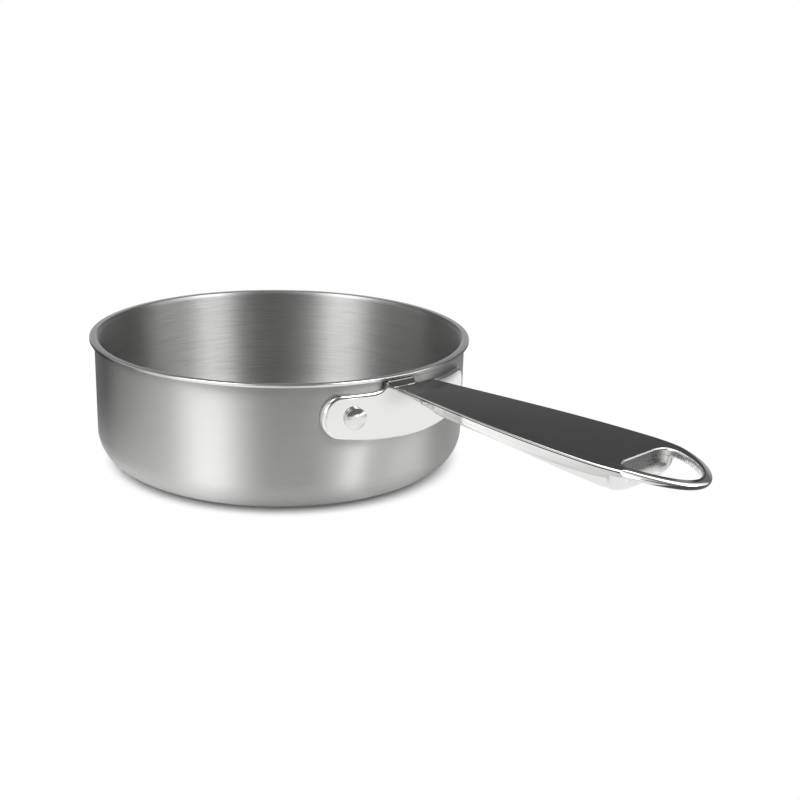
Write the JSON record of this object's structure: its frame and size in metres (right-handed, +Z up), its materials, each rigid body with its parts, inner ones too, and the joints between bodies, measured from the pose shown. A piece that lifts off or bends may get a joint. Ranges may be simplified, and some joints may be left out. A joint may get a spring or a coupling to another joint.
{
  "type": "straight-sided pan",
  "caption": "Low straight-sided round pan of bonded plies with a turned-out lip and a long flat hollow handle on a riveted bracket plate, ending in a loop to hang it by.",
  "frame": {"origin": "on the pan's axis, at the underside of its base", "axes": "+Z up along the pan's axis, +X along the handle towards its loop"},
  "size_m": [0.3774, 0.208, 0.0693],
  "materials": {
    "outer_steel": "satin, brushed round the wall",
    "core_aluminium": "rolled, hidden between the steel plies",
    "inner_steel": "brushed round the wall, polished lip",
    "plate_steel": "polished stainless steel",
    "handle_steel": "mirror polished stainless steel",
    "shell_steel": "polished stainless steel",
    "rivet_steel": "polished stainless steel"
  },
  "bodies": {
    "root": {"outer_shell": "outer_steel", "aluminium_core": "core_aluminium", "inner_liner": "inner_steel", "handle_plate": "plate_steel", "handle_top": "handle_steel", "handle_shell": "shell_steel", "rivet_left": "rivet_steel", "rivet_right": "rivet_steel"}
  },
  "joints": []
}
